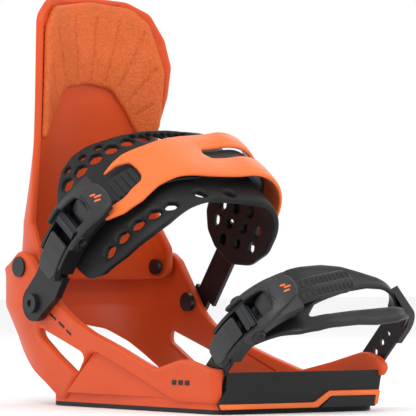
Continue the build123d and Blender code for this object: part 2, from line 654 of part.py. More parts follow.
def build():
    os.makedirs("parts", exist_ok=True)
    nodes = {
        "baseplate": baseplate(),
        "side_gussets": side_gussets(),
        "screw_lugs": screw_lugs(),
        "base_gasket": base_gasket(),
        "mounting_disc": mounting_disc(),
        "footbed": footbed(),
        "heel_pad": heel_pad(),
        "heel_hoop": heel_hoop(),
        "hoop_screws": hoop_screws(),
        "toe_ramp_pad": toe_ramp_pad(),
        "toe_ramp_trim": toe_ramp_trim(),
        "toe_bumper": toe_bumper(),
        "highback_shell": highback_shell(),
        "highback_pad": highback_pad(),
        "highback_pivot_bolts": pivot_bolts(),
        "highback_pivot_nuts": pivot_nuts(),
        "lean_rack": lean_rack(),
        "lean_block": lean_block(),
        "lean_lever": lean_lever(),
        "lean_lever_pin": lean_pin(),
        "ankle_pad": ankle_pad(),
        "ankle_core_strap": ankle_core(),
        "ankle_extender": ankle_extender(),
        "ankle_cap": ankle_cap(),
        "ankle_ladder_link": ankle_link(),
        "ankle_ladder": ankle_ladder(),
        "ankle_strap_bolts": ankle_bolts(),
        "ankle_strap_nuts": ankle_nuts(),
        "ankle_buckle_base": ANKLE_BUCKLE.base(),
        "ankle_buckle_lever": ANKLE_BUCKLE.lever(),
        "ankle_drive_drum": ANKLE_BUCKLE.drum(),
        "ankle_release_lever": ANKLE_BUCKLE.release(),
        "ankle_lever_pin": ANKLE_BUCKLE.lever_pin(),
        "ankle_release_pin": ANKLE_BUCKLE.release_pin(),
        "toe_cap": toe_cap(),
        "toe_ladder": toe_ladder(),
        "toe_extender": toe_extender(),
        "toe_clip": toe_clip(),
        "toe_strap_bolts": toe_strap_bolts(),
        "toe_buckle_base": TOE_BUCKLE.base(),
        "toe_buckle_lever": TOE_BUCKLE.lever(),
        "toe_drive_drum": TOE_BUCKLE.drum(),
        "toe_release_lever": TOE_BUCKLE.release(),
        "toe_lever_pin": TOE_BUCKLE.lever_pin(),
        "toe_release_pin": TOE_BUCKLE.release_pin(),
    }
    for name, shape in nodes.items():
        save(shape, name)
        print(name, len(shape.solids()), round(shape.volume))


build()
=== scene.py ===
import json
import math

import bpy
import numpy as np
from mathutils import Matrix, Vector
from mathutils.geometry import delaunay_2d_cdt


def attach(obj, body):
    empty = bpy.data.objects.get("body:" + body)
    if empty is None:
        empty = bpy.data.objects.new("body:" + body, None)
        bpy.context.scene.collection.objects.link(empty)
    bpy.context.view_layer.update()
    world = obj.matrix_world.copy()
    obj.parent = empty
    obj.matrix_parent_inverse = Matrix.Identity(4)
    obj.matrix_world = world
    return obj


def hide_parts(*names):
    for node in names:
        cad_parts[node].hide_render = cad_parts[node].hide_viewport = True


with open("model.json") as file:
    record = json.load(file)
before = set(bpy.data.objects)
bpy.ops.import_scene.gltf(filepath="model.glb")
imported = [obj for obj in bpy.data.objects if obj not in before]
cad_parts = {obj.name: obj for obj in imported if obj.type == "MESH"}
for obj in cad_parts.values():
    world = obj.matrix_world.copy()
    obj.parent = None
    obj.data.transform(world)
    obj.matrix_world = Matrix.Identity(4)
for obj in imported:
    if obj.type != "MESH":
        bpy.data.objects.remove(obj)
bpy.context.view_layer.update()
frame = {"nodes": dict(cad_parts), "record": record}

MM = 0.001
nodes = frame["nodes"]


# ---- curved surfaces that the plates are laid on, in millimetres ---------------------------------------
class StrapLoop:
    """The path of a strap over the boot, in a plane tilted forward about its two bolts.

    u runs along the path, w across the strap and d outward from the path.
    """

    def __init__(self, x, z, tilt, near, far, crest, near_r, far_r):
        self.x, self.z, self.tilt = x, z, math.radians(tilt)
        self.near_r, self.far_r, self.crest = near_r, far_r, crest
        self.near_c = (near_r - near, crest - near_r)
        self.far_c = (far - far_r, crest - far_r)
        self.top_run = self.far_c[0] - self.near_c[0]
        self.near_turn = math.pi / 2 * near_r
        self.far_turn = math.pi / 2 * far_r

    def path(self, u, d):
        a = np.clip(u, -self.near_turn, 0) / self.near_r
        b = np.clip(u - self.top_run, 0, self.far_turn) / self.far_r
        on_near, on_top = u < 0, u < self.top_run
        y_near = self.near_c[0] + (self.near_r + d) * np.sin(a)
        v_near = self.near_c[1] + (self.near_r + d) * np.cos(a) + np.minimum(u + self.near_turn, 0)
        y_far = self.far_c[0] + (self.far_r + d) * np.sin(b)
        past = np.maximum(u - self.top_run - self.far_turn, 0)
        v_far = self.far_c[1] + (self.far_r + d) * np.cos(b) - past
        y = np.where(on_near, y_near, np.where(on_top, self.near_c[0] + u, y_far))
        v = np.where(on_near, v_near, np.where(on_top, self.crest + d, v_far))
        return y, v

    def place(self, u, w, d):
        y, v = self.path(u, d)
        s, c = math.sin(self.tilt), math.cos(self.tilt)
        return np.stack([self.x + v * s + w * c, y, self.z + v * c - w * s], -1)


ANKLE = StrapLoop(-89.0, 68.0, 36.0, 58.0, 62.0, 107.0, 62.0, 18.0)
TOE = StrapLoop(88.0, 30.0, 45.0, 53.0, 64.0, 63.0, 42.0, 22.0)

# Levels of the highback: height, x of the wing edges, half width, x of the spine, on its back face.
HIGHBACK_LEVELS = np.array([
    (78.0, -103.0, 57.0, -166.2), (104.0, -104.0, 57.5, -162.5), (122.0, -113.0, 58.0, -159.5),
    (150.0, -110.5, 58.0, -150.6), (180.0, -108.5, 58.0, -140.5), (205.0, -108.0, 58.0, -133.5),
    (235.0, -107.5, 58.0, -128.0), (280.0, -107.0, 57.5, -123.0)])
WING = 62.0


def highback(a, z, d):
    """a runs round the shell from one wing edge (-WING) to the other, d forward from the back face."""
    wing, half, spine = (np.interp(z, HIGHBACK_LEVELS[:, 0], HIGHBACK_LEVELS[:, k]) for k in (1, 2, 3))
    r = ((wing - spine) ** 2 + half ** 2) / (2 * (wing - spine))
    centre = spine + r
    turn = a / WING * np.arccos(np.clip((centre - wing) / r, -1, 1))
    return np.stack([centre - (r - d) * np.cos(turn), (r - d) * np.sin(turn), z + 0 * a], -1)


HOOP_R = 66.0
HOOP_TURN = math.pi / 2 * HOOP_R
ARM_RUN = 250.0


def wall_rise(z):
    """How far up the slanted stretch of the walls a height is, from 0 to 1."""
    return np.clip((z - 3) / 63, 0, 1)


def wall(s, z, d):
    """The side walls joined round the heel: s runs from the middle of the heel, d outward."""
    rise = wall_rise(z)
    centre, rear, front = -80 - 30 * rise, 57 + 9 * rise, 63.5 + 7.5 * rise
    m = np.abs(s)
    turn = np.minimum(m, HOOP_TURN) / HOOP_R
    run = np.maximum(m - HOOP_TURN, 0) / ARM_RUN
    on_hoop = m < HOOP_TURN
    x = np.where(on_hoop, centre - (rear + d) * np.cos(turn), centre + run * (140 - centre))
    y = np.where(on_hoop, (rear + d) * np.sin(turn), rear + d + run * (front - rear))
    return np.stack([x, y * np.sign(s + 1e-9), z + 0 * s], -1)


def on_wall(points, side):
    """Points (x, z) of the outer wall on one side as points (s, z)."""
    found = []
    for p in points:
        x, z = p[0], p[1]
        rise = wall_rise(z)
        centre, rear = -80 - 30 * rise, 57 + 9 * rise
        if x > centre:
            s = HOOP_TURN + (x - centre) / (140 - centre) * ARM_RUN
        else:
            s = HOOP_R * math.acos(min(1, (centre - x) / rear))
        found.append((side * s, z) + tuple(p[2:]))
    return found


FRONT_X, FRONT_Y = 98.5, -60.0
FRONT_TURN = math.radians(5.4)


def front_face(y, z, d):
    """The upright front of the toe ramp, turned about its near end; d forward."""
    far = y - FRONT_Y
    return np.stack([FRONT_X + d * math.cos(FRONT_TURN) + far * math.sin(FRONT_TURN),
                     FRONT_Y + far * math.cos(FRONT_TURN) - d * math.sin(FRONT_TURN), z + 0 * d], -1)


# ---- plates --------------------------------------------------------------------------------------------
def rounded(points, radius=3.0, step=2.0):
    """Closed loop with rounded corners; a point may carry its own radius as a third value."""
    pts = [np.array(p[:2], float) for p in points]
    radii = [p[2] if len(p) > 2 else radius for p in points]
    loop = []
    n = len(pts)
    for i, p in enumerate(pts):
        to_a, to_b = pts[i - 1] - p, pts[(i + 1) % n] - p
        len_a, len_b = np.linalg.norm(to_a), np.linalg.norm(to_b)
        dir_a, dir_b = to_a / len_a, to_b / len_b
        half_angle = math.acos(max(-1, min(1, float(dir_a @ dir_b)))) / 2
        reach = min(radii[i] / max(math.tan(half_angle), 1e-3), 0.47 * len_a, 0.47 * len_b)
        a, b = p + dir_a * reach, p + dir_b * reach
        count = max(1, int(reach * 2 / step) + 1) if math.degrees(half_angle) < 87 else 1
        for k in range(count + 1):
            t = k / count
            loop.append((1 - t) ** 2 * a + 2 * t * (1 - t) * p + t * t * b)
    dense = []
    for i, p in enumerate(loop):
        q = loop[(i + 1) % len(loop)]
        cuts = max(1, int(np.linalg.norm(q - p) / step))
        dense += [p + (q - p) * k / cuts for k in range(cuts)]
    return np.array([p for i, p in enumerate(dense) if np.linalg.norm(p - dense[i - 1]) > 0.05])


def edge_distance(points, loops):
    """Distance of each point from the nearest edge, and whether it is inside the loops."""
    best = np.full(len(points), 1e9)
    crossings = np.zeros(len(points), int)
    px, py = points[:, :1], points[:, 1:]
    for loop in loops:
        a, b = loop, np.roll(loop, -1, 0)
        ab = b - a
        t = ((px - a[:, 0]) * ab[:, 0] + (py - a[:, 1]) * ab[:, 1]) / (ab ** 2).sum(1)
        t = np.clip(t, 0, 1)
        dist = np.hypot(px - a[:, 0] - t * ab[:, 0], py - a[:, 1] - t * ab[:, 1]).min(1)
        best = np.minimum(best, dist)
        spans = (a[:, 1] > py) != (b[:, 1] > py)
        rise = np.where(ab[:, 1] == 0, 1e-12, ab[:, 1])
        crossings += (spans & (px < ab[:, 0] * (py - a[:, 1]) / rise + a[:, 0])).sum(1)
    return best, crossings % 2 == 1


def triangulate(loops, grid, edge):
    """Fine triangles over the area inside the loops, with extra rows of points along its edges."""
    rows = list(loops)
    for loop in loops:
        along = np.roll(loop, -1, 0) - np.roll(loop, 1, 0)
        normal = np.stack([-along[:, 1], along[:, 0]], -1) / np.linalg.norm(along, axis=1, keepdims=True)
        for part in (0.12, 0.45, 1.0):
            for sign in (-1, 1):
                row = loop + normal * sign * edge * part
                dist, inside = edge_distance(row, loops)
                rows.append(row[inside & (dist > edge * part * 0.93)])
    low, high = loops[0].min(0), loops[0].max(0)
    xs = np.arange(low[0], high[0], grid)
    ys = np.arange(low[1], high[1], grid * 0.87)
    gx, gy = np.meshgrid(xs, ys)
    gx[1::2] += grid / 2
    field = np.stack([gx.ravel(), gy.ravel()], -1)
    dist, inside = edge_distance(field, loops)
    rows.append(field[inside & (dist > edge + 0.45 * grid)])
    points = np.concatenate(rows)
    edges, start = [], 0
    for loop in loops:
        edges += [(start + i, start + (i + 1) % len(loop)) for i in range(len(loop))]
        start += len(loop)
    verts, _, faces, *_ = delaunay_2d_cdt([Vector(p) for p in points], edges, [], 0, 1e-4)
    verts = np.array([(v.x, v.y) for v in verts])
    faces = np.array([f for f in faces if len(f) == 3])
    _, inside = edge_distance(verts[faces].mean(1), loops)
    return verts, faces[inside]


def new_object(name, verts, faces):
    mesh = bpy.data.meshes.new(name)
    mesh.from_pydata([tuple(v) for v in verts], [], [tuple(int(i) for i in f) for f in faces])
    mesh.validate()
    mesh.update()
    mesh.shade_smooth()
    obj = bpy.data.objects.new(name, mesh)
    bpy.context.scene.collection.objects.link(obj)
    return obj


def plate(name, outline, place, inner, outer, holes=(), grid=2.2, edge=1.6, back=0.8, relief=None,
          under=None):
    """A plate with rounded edges, lying on a curved surface.

    outline and holes are closed loops in the surface's own coordinates, place maps them to space, and inner
    and outer are the heights of the two faces. relief and under add to those heights: they take the
    coordinates and the distance from the edge.
    """
    loops = [outline] + list(holes)
    flat, faces = triangulate(loops, grid, edge)
    used = np.unique(faces)
    index = np.full(len(flat), -1)
    index[used] = np.arange(len(used))
    flat, faces = flat[used], index[faces]
    dist, _ = edge_distance(flat, loops)

    def drop(r):
        t = np.clip(dist / r, 0, 1)
        return r * (1 - np.sqrt(1 - (1 - t) ** 2))

    a, b = flat[:, 0], flat[:, 1]
    top = outer - drop(edge) + (relief(a, b, dist) if relief else 0)
    low = inner + drop(back) + (under(a, b, dist) if under else 0)
    n = len(flat)
    verts = np.concatenate([place(a, b, top), place(a, b, low)]) * MM
    seen = {}
    for f in faces:
        for i in range(3):
            key = (f[i], f[(i + 1) % 3])
            seen[key] = True
    rim = [k for k in seen if (k[1], k[0]) not in seen]
    quads = [(q, p, p + n, q + n) for p, q in rim]
    upper = [tuple(f) for f in faces]
    lower = [tuple(i + n for i in f[::-1]) for f in faces]
    obj = new_object(name, verts, upper + lower + quads)
    flip_if_inside_out(obj)
    return obj


def flip_if_inside_out(obj):
    """Makes the faces of a closed mesh point outward."""
    mesh = obj.data
    co = np.empty(len(mesh.vertices) * 3)
    mesh.vertices.foreach_get("co", co)
    co = co.reshape(-1, 3)
    mesh.calc_loop_triangles()
    tri = np.array([t.vertices for t in mesh.loop_triangles])
    a, b, c = co[tri[:, 0]], co[tri[:, 1]], co[tri[:, 2]]
    if (np.cross(a, b) * c).sum() < 0:
        mesh.flip_normals()


# ---- materials -----------------------------------------------------------------------------------------
def plastic(name, colour, rough, grain=0.0, grain_size=1.2, vary=0.04):
    """Moulded plastic or rubber: one colour with a slight drift, and a fine grain in relief."""
    mat = bpy.data.materials.new(name)
    mat.use_nodes = True
    tree = mat.node_tree
    bsdf = tree.nodes["Principled BSDF"]
    bsdf.inputs["Roughness"].default_value = rough
    bsdf.inputs["Specular IOR Level"].default_value = 0.34
    coords = tree.nodes.new("ShaderNodeTexCoord")
    drift = tree.nodes.new("ShaderNodeTexNoise")
    drift.inputs["Scale"].default_value = 35.0
    drift.inputs["Detail"].default_value = 3.0
    tree.links.new(coords.outputs["Object"], drift.inputs["Vector"])
    ramp = tree.nodes.new("ShaderNodeValToRGB")
    ramp.color_ramp.elements[0].position = 0.3
    ramp.color_ramp.elements[1].position = 0.7
    ramp.color_ramp.elements[0].color = tuple(c * (1 - vary) for c in colour) + (1,)
    ramp.color_ramp.elements[1].color = tuple(min(1, c * (1 + vary)) for c in colour) + (1,)
    tree.links.new(drift.outputs["Fac"], ramp.inputs["Fac"])
    tree.links.new(ramp.outputs["Color"], bsdf.inputs["Base Color"])
    if grain:
        fine = tree.nodes.new("ShaderNodeTexNoise")
        fine.inputs["Scale"].default_value = 1000.0 / grain_size
        fine.inputs["Detail"].default_value = 2.0
        tree.links.new(coords.outputs["Object"], fine.inputs["Vector"])
        bump = tree.nodes.new("ShaderNodeBump")
        bump.inputs["Strength"].default_value = grain
        bump.inputs["Distance"].default_value = 0.0004
        tree.links.new(fine.outputs["Fac"], bump.inputs["Height"])
        tree.links.new(bump.outputs["Normal"], bsdf.inputs["Normal"])
    return mat


def leather(name, colour):
    """Creased synthetic leather: cells with soft folds between them."""
    mat = plastic(name, colour, rough=0.5, vary=0.07)
    tree = mat.node_tree
    bsdf = tree.nodes["Principled BSDF"]
    coords = tree.nodes.new("ShaderNodeTexCoord")
    warp = tree.nodes.new("ShaderNodeTexNoise")
    warp.inputs["Scale"].default_value = 130.0
    warp.inputs["Detail"].default_value = 3.0
    mix = tree.nodes.new("ShaderNodeMixRGB")
    mix.blend_type = "LINEAR_LIGHT"
    mix.inputs["Fac"].default_value = 0.012
    cells = tree.nodes.new("ShaderNodeTexVoronoi")
    cells.feature = "DISTANCE_TO_EDGE"
    cells.inputs["Scale"].default_value = 230.0
    ramp = tree.nodes.new("ShaderNodeMath")
    ramp.operation = "MINIMUM"
    ramp.inputs[1].default_value = 0.16
    fine = tree.nodes.new("ShaderNodeTexNoise")
    fine.inputs["Scale"].default_value = 600.0
    fine.inputs["Detail"].default_value = 4.0
    add = tree.nodes.new("ShaderNodeMath")
    add.operation = "MULTIPLY_ADD"
    add.inputs[1].default_value = 0.14
    bump = tree.nodes.new("ShaderNodeBump")
    bump.inputs["Strength"].default_value = 0.75
    bump.inputs["Distance"].default_value = 0.0022
    links = tree.links
    links.new(coords.outputs["Object"], warp.inputs["Vector"])
    links.new(coords.outputs["Object"], mix.inputs["Color1"])
    links.new(warp.outputs["Color"], mix.inputs["Color2"])
    links.new(mix.outputs["Color"], cells.inputs["Vector"])
    links.new(cells.outputs["Distance"], ramp.inputs[0])
    links.new(coords.outputs["Object"], fine.inputs["Vector"])
    links.new(fine.outputs["Fac"], add.inputs[0])
    links.new(ramp.outputs["Value"], add.inputs[2])
    links.new(add.outputs["Value"], bump.inputs["Height"])
    links.new(bump.outputs["Normal"], bsdf.inputs["Normal"])
    return mat


def linear(r, g, b):
    """A colour given in 0-255 sRGB, as linear values."""
    return tuple(((c / 255 + 0.055) / 1.055) ** 2.4 if c > 10 else c / 255 / 12.92 for c in (r, g, b))


MATS = {
    "shell_orange": plastic("shell_orange", linear(208, 74, 22), 0.46, 0.1),
    "pad_orange": leather("pad_orange", linear(212, 98, 40)),
    "cap_orange": plastic("cap_orange", linear(238, 112, 50), 0.42, 0.06),
    "black_plastic": plastic("black_plastic", linear(23, 23, 25), 0.42, 0.12),
    "grey_plastic": plastic("grey_plastic", linear(42, 42, 44), 0.4, 0.12),
    "black_rubber": plastic("black_rubber", linear(27, 27, 28), 0.62, 0.2, 0.8),
    "dark_steel": plastic("dark_steel", linear(30, 32, 36), 0.32, 0.04),
    "pad_black": plastic("pad_black", linear(16, 16, 18), 0.55, 0.25, 0.8),
}


def finish_piece(obj, material, body, stands_for=()):
    """Gives a piece its material and the body it rides on, and hides the CAD nodes it stands for."""
    obj.data.materials.clear()
    obj.data.materials.append(MATS[material])
    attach(obj, body)
    if stands_for:
        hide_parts(*stands_for)
    return obj


# ---- CAD nodes that show as they are: a finish and softened edges --------------------------------------
SLOT_OF = {s["node"]: s["material_slot"] for s in frame["record"]["subparts"]}
CAD_BEVEL = 0.35


def dress_cad(name):
    obj = nodes[name]
    obj.data.materials.clear()
    obj.data.materials.append(MATS[SLOT_OF[name]])
    mod = obj.modifiers.new("soft_edges", "BEVEL")
    mod.width = CAD_BEVEL * MM
    mod.segments = 2
    mod.limit_method = "ANGLE"
    mod.angle_limit = math.radians(40)
    mod.harden_normals = True
    obj.data.shade_smooth()


# ---- highback ------------------------------------------------------------------------------------------
def highback_rim(a, z, dist):
    """A raised rim round the edge of the shell, with a groove inside it."""
    return -0.9 * np.exp(-((dist - 5.0) / 0.9) ** 2)


def back_panels(a, z, dist):
    """Shallow panels between the spine and two pairs of rising ribs on the back of the shell."""
    side = np.abs(a)
    field = np.clip((42 - side) / 2, 0, 1) * np.clip((z - 122) / 3, 0, 1) * np.clip((260 - z) / 3, 0, 1)
    spine = np.clip((side - 9.5) / 2, 0, 1)
    rib = np.minimum(np.abs(z - 160 - 0.35 * side), np.abs(z - 206 - 0.35 * side))
    return 1.6 * field * spine * np.clip((rib - 3) / 2, 0, 1)


shell_outline = rounded([
    (-62, 84, 10), (-62, 262, 12), (-46, 275.5, 14), (0, 277.3, 60), (28, 275.5, 20), (46, 267.5, 12),
    (57, 250, 14), (62, 231, 12), (60, 211, 12), (54.5, 190, 20), (54.5, 165, 30), (58.5, 122, 20),
    (62, 106, 10), (62, 84, 10), (30, 83, 20), (-30, 83, 20)], 6, 2.0)
shell = plate("highback_shell_skin", shell_outline, highback, 0.0, 5.0, grid=2.4, edge=1.8, back=1.6,
              relief=highback_rim, under=back_panels)
finish_piece(shell, "shell_orange", "highback", ["highback_shell"])

# The pad is an arch of leather with nine grooves that fan out from its opening.
PAD_GROOVES = [((-51, 229), (-36, 205)), ((-43.5, 254), (-26.5, 216)), ((-22.5, 262.5), (-14, 220)),
               ((-0.4, 263), (-0.6, 220)), ((20.5, 262), (12, 220)), ((41, 254), (23, 216)),
               ((51, 229), (31.5, 206.5)), ((50, 205), (38, 197)), ((-54, 206.5), (-43, 195))]


def pad_relief(a, z, dist):
    """Soft crown towards the middle of the band, with the fan of grooves pressed in."""
    crown = 1.6 * (1 - np.exp(-dist / 4.0))
    cut = np.zeros_like(a)
    for (a0, z0), (a1, z1) in PAD_GROOVES:
        length = math.hypot(a1 - a0, z1 - z0)
        ux, uz = (a1 - a0) / length, (z1 - z0) / length
        along = np.clip((a - a0) * ux + (z - z0) * uz, 0, length)
        gap = np.hypot(a - a0 - along * ux, z - z0 - along * uz)
        cut = np.maximum(cut, np.exp(-(gap / 0.8) ** 2))
    return crown - 1.5 * cut


pad_outline = rounded([
    (-59, 179, 3), (-58, 190, 8), (-57.5, 254, 14), (-46, 269.5, 14), (-5, 274.3, 60), (30, 271, 20),
    (45, 260.5, 14), (58, 227, 16), (56, 190, 8), (51, 179, 3), (41, 183, 3), (30.6, 199.5, 10),
    (18.2, 215, 12),
    (-2.3, 218.4, 30), (-25.9, 214.4, 12), (-40.4, 194.5, 10), (-48, 181, 3)], 6, 1.6)
pad = plate("highback_leather_pad", pad_outline, highback, 5.2, 8.6, grid=1.5, edge=1.6, back=0.4,
            relief=pad_relief)
finish_piece(pad, "pad_orange", "highback", ["highback_pad"])


# ---- chassis -------------------------------------------------------------------------------------------
near_top = [(-125, 98, 16), (-114, 104, 12), (-103, 99, 8), (-86, 80.5, 6), (-72, 71.4, 20),
            (-60, 62, 20), (-50, 56.3, 20),
            (-33, 49, 40), (-4, 40, 40), (18, 32, 20), (33, 27.3, 12), (51, 31.5, 20), (61, 33.6, 12),
            (69, 33.6, 12), (90, 28.8, 12), (99.4, 28.4, 2), (99.0, 25, 4), (95.2, 6, 2)]
near_low = [(51.5, 6, 2), (-31, 36.2, 6), (-39, 35.4, 5), (-74, 4.2, 3), (-81, 5, 4), (-95, 14, 20),
            (-113, 22, 20), (-125, 30, 20),
            (-139.5, 40, 20), (-154.5, 49, 20), (-171, 56, 20)]
far_top = [(-125, 98, 16), (-114, 104, 12), (-103, 97, 8), (-85, 72, 10), (-74, 60, 10), (-64, 53, 20),
           (-32, 41.5, 40),
           (0, 32.5, 40), (33, 24, 14), (62, 30, 20), (90, 37, 10), (97, 37, 8), (106, 34.6, 8),
           (112.4, 30, 4), (113.4, 26.4, 2),
           (111, 22.6, 1), (107.2, 22.2, 1), (106.4, 6, 2)]
wall_outline = rounded(
    on_wall(near_top, -1)[::-1] + [(-80, 94.5, 20), (-50, 91, 30), (0, 89.5, 60), (50, 91, 30),
                                   (80, 94.5, 20)]
    + on_wall(far_top, 1) + on_wall(near_low, 1) + [(0, 59.5, 40)] + on_wall(near_low, -1)[::-1], 6, 2.2)
near_window = rounded(on_wall([(-94.5, 52, 4), (-93.5, 45.8, 3), (-77.9, 34.2, 10), (-57, 21.2, 4),
                               (-43.5, 34.4, 4)], -1), 4, 1.8)
far_window = rounded(on_wall([(-109, 49, 4), (-108, 40.6, 3), (-66, 18.6, 4), (-50, 31, 4)], 1), 4, 1.8)


def wall_relief(s, z, dist):
    """A bead along the edges of the walls."""
    bead = 0.5 * np.exp(-((dist - 2.6) / 1.2) ** 2) - 0.35 * (1 - np.exp(-np.maximum(dist - 4, 0) / 1.5))
    rise = wall_rise(z)
    x = -80 - 30 * rise + np.maximum(np.abs(s) - HOOP_TURN, 0) / ARM_RUN * (220 + 30 * rise)
    chamfer = np.where(s < 0, np.clip((x - 93.5) / 5.7, 0, 1) * 4.6, 0)
    return bead - chamfer


hoop = plate("chassis_walls", wall_outline, wall, -6.0, 0.0, [near_window, far_window], grid=2.6,
             edge=1.8, back=1.5,
             relief=wall_relief)
finish_piece(hoop, "shell_orange", "chassis", ["heel_hoop"])

# Plain marks on the near arm, where a maker's lettering would be.
for k, (x, z, length, rise) in enumerate(((-80, 60.5, 7, 1.6), (-70.5, 54.8, 6, 1.8),
                                          (-62.5, 49.6, 5, 1.6), (50, 17.4, 5, 3.2),
                                          (57, 17.4, 5, 3.2), (64, 17.4, 5, 3.2))):
    fall = -0.62 * length if x < 0 else 0.0
    bar = rounded(on_wall([(x, z), (x + length, z + fall), (x + length + 0.8, z + fall + rise),
                           (x + 0.8, z + rise)], -1), 0.5, 0.9)
    mark = plate(f"arm_mark_{k}", bar, wall, -0.9, -0.12, grid=1.0, edge=0.1, back=0.05)
    finish_piece(mark, "black_plastic", "chassis")


# ---- ankle strap ---------------------------------------------------------------------------------------
def hexagon(u, w, r, stretch=1.0):
    return rounded([(u + r * stretch * math.cos(a), w + r * math.sin(a)) for a in
                    (math.radians(30 + 60 * k) for k in range(6))], r * 0.35, 1.6)


ankle_pad_outline = rounded([
    (-88.5, -26, 8), (-76, -39, 10), (-68, -46, 12), (-57, -49.5, 14), (-45, -49, 14), (-31, -45.5, 14),
    (-12, -44, 14),
    (14, -46, 20), (40, -44, 14), (62, -36, 10), (84, -28, 12), (97, -25, 10), (107, -16, 10),
    (112, -3, 12), (112, 18, 12),
    (101, 35, 14), (84, 45, 14), (70, 45, 14), (50, 40, 20), (28, 36, 20), (3, 34, 20), (-16, 39, 20),
    (-35, 46, 20),
    (-48, 48, 16), (-70, 47, 12), (-90, 40, 12), (-101, 30, 10), (-103, 16, 8), (-98, -6, 8)], 8, 2.0)
pad_holes = []
for u in range(-82, 30, 12):
    pad_holes.append(hexagon(u, -34 - 0.06 * (u + 60), 4.4, 1.15))
for u in range(-64, 24, 12):
    pad_holes.append(hexagon(u, -42.5 + (2 if u > -20 else 0), 2.2, 1.3))
for u in range(-88, 30, 12):
    pad_holes.append(hexagon(u, 34.5 if u < -12 else 29.5, 4.2, 1.15))
for row, w in enumerate((-12, 2, 16, 30)):
    for k in range(3):
        pad_holes.append(hexagon(70 + 13 * k + 6.5 * (row % 2), w, 3.9, 1.1))


def ankle_pad_relief(u, w, dist):
    return 1.0 * (1 - np.exp(-dist / 3.0))


HOLE_MARGIN = 1.5
whole_holes = []
for hole in pad_holes:
    margin, inside = edge_distance(hole, [ankle_pad_outline])
    if inside.all() and margin.min() > HOLE_MARGIN:
        whole_holes.append(hole)
ankle_pad = plate("ankle_honeycomb_pad", ankle_pad_outline, ANKLE.place, 0.0, 4.4, whole_holes, grid=2.4,
                  edge=1.4, back=1.2,
                  relief=ankle_pad_relief)
finish_piece(ankle_pad, "pad_black", "ankle_strap", ["ankle_pad"])

cap_outline = rounded([
    (-52, -9.5, 3), (-42, -15, 6), (-35, -17.5, 8), (-21, -18, 14), (7, -24, 20), (40, -28, 20),
    (58, -24, 14),
    (72, -18, 8), (84, -10, 8), (93, 2, 8), (98, 12, 8),
    (94, 24, 10), (70, 27, 20), (40, 22, 20), (3, 21.5, 30), (-15, 19, 20), (-29, 21.6, 14),
    (-42, 27.5, 8), (-54.5, 27.5, 8),
    (-66, 21, 5), (-60, 16, 5), (-49, 17, 6), (-43, 14, 3), (-36, 11.5, 3), (-33.5, 7, 4), (-33, 0, 4),
    (-34, -8, 3),
    (-41, -11, 3)], 4, 1.8)
cap_window = rounded([(14, -3, 3), (16, -9, 3), (36, -11.5, 10), (52, -10, 8), (63, -4, 4), (64, 2, 4),
                      (48, 1, 8), (18, 2, 3)], 4, 1.6)


def cap_relief(u, w, dist):
    """A raised line along the edge and a crown."""
    crown = 0.7 * (1 - np.exp(-dist / 5.0)) - 0.5 * np.exp(-((dist - 3.4) / 0.7) ** 2)
    return crown + cap_lift(u, w, dist)


def cap_lift(u, w, dist):
    """The cap stands off the pad over the far shoulder."""
    return 3.4 * np.exp(-((u - 54) / 17) ** 2)


cap = plate("ankle_cap_skin", cap_outline, ANKLE.place, 11.9, 14.6, grid=2.0, edge=1.6, back=1.0,
            relief=cap_relief, holes=[cap_window],
            under=cap_lift)
finish_piece(cap, "cap_orange", "ankle_strap", ["ankle_cap"])


def core_lift(u, w, dist):
    """The core strap rises to the cap's window past the end of the ladder."""
    return 2.2 * np.clip(u / 10, 0, 1) + cap_lift(u, w, dist)


core_outline = rounded([(-84, -6), (-84, 16), (2, 16), (14, 8), (62, 8), (76, 14), (92, 15), (92, -5),
                        (76, -12), (60, -13),
                        (14, -12), (0, -6)], 3, 2.0)
core = plate("ankle_core_skin", core_outline, ANKLE.place, 6.2, 8.0, grid=2.2, edge=0.5, back=0.4,
             relief=core_lift,
             under=core_lift)
finish_piece(core, "grey_plastic", "ankle_strap", ["ankle_core_strap"])

# ---- toe strap -----------------------------------------------------------------------------------------
toe_outline = rounded([
    (-64, 10, 6), (-66, 2, 6), (-60, -6, 6), (-48, -11, 10), (-36, -14, 10), (-23.5, -18, 10),
    (-12.7, -22.3, 12),
    (-1.1, -23.8, 14), (16.3, -25.4, 16), (31.9, -23.8, 14), (42, -20, 14), (55, -14.5, 10),
    (66, -10, 10), (85, -8, 3),
    (85, 12, 3), (74, 14, 8), (62, 20.5, 10), (52, 24.5, 10), (33, 26.8, 14), (17.9, 26.4, 14),
    (0.7, 28, 14),
    (-14.2, 28.8, 12), (-26.3, 26.4, 10), (-37, 20.6, 12), (-52.9, 14.2, 12)], 6, 2.0)
toe_window = rounded([(-18, 18, 3), (-7.1, 8.2, 6), (7.1, 3.2, 8), (25.6, -2.4, 10), (44, -5.4, 10),
                      (58, -4.4, 10),
                      (72, -1.6, 6), (80, 2, 4), (75, 6.6, 4), (60, 11.6, 8), (38, 13.4, 10),
                      (16.6, 15.2, 8),
                      (-1.2, 17.4, 8)], 4, 1.8)


def toe_cap_relief(u, w, dist):
    """A flat face between two rolled edges."""
    return 0.5 * np.exp(-((dist - 1.8) / 1.0) ** 2)


toe_cap = plate("toe_cap_skin", toe_outline, TOE.place, -0.4, 2.2, [toe_window], grid=2.2, edge=1.2,
                back=0.9,
                relief=toe_cap_relief)
finish_piece(toe_cap, "black_plastic", "toe_strap", ["toe_cap"])


def ladder_path(u, w, d):
    """The ladder runs straight through the buckle and then leans back over the cap."""
    return TOE.place(u, w + 3 - 0.2 * np.maximum(u + 28, 0), d)


def ladder_slots(u, w, dist):
    """Two rows of slots that the drum's teeth take."""
    step = (u + 100) % 3.8
    in_row = np.clip((np.abs(np.abs(w) - 4.5) - 2.6) / -0.4, 0, 1)
    return -1.1 * (u > -84) * in_row * np.clip((np.abs(step - 1.9) - 1.15) / -0.3, 0, 1)


